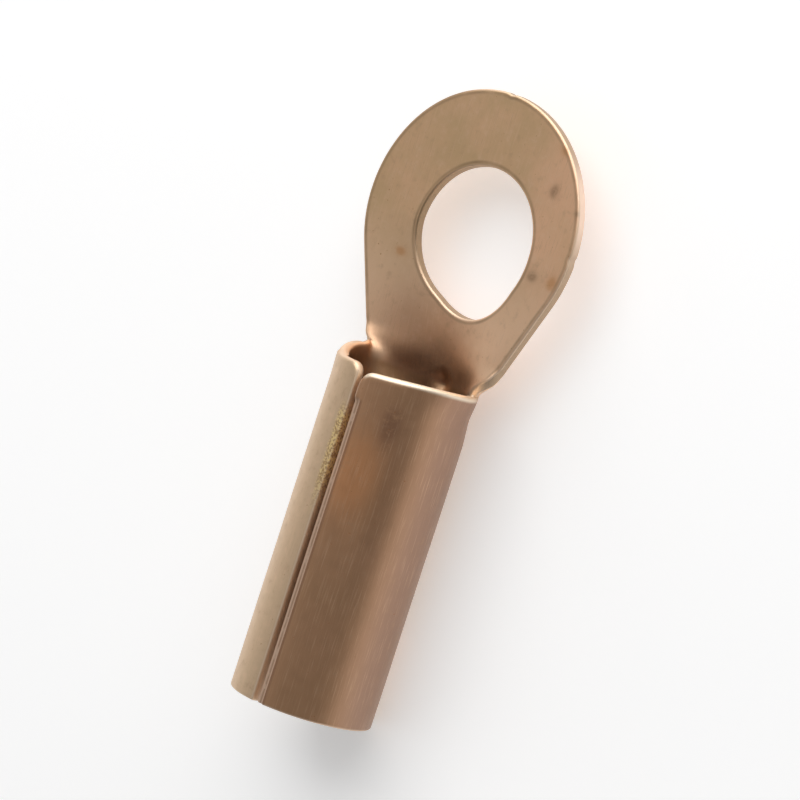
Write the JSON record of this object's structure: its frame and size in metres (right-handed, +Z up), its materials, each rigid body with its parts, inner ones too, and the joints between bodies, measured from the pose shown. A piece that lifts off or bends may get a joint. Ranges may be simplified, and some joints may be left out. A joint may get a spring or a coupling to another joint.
{
  "type": "cable lug",
  "caption": "Ring cable lug of sheet copper: a rolled barrel with an open seam runs through a trough-shaped neck into a flat ring with a stud hole.",
  "frame": {"origin": "on the stud hole's axis, at the palm, the flat underside of the ring that beds on the terminal", "axes": "+Y from the barrel to the ring's tip, +Z up through the stud hole to the seam side"},
  "size_m": [0.023, 0.0553, 0.0126],
  "materials": {
    "copper": "satin, bare and slightly tarnished copper, with bright sheared edges"
  },
  "bodies": {
    "root": {"lug": "copper"}
  },
  "joints": []
}
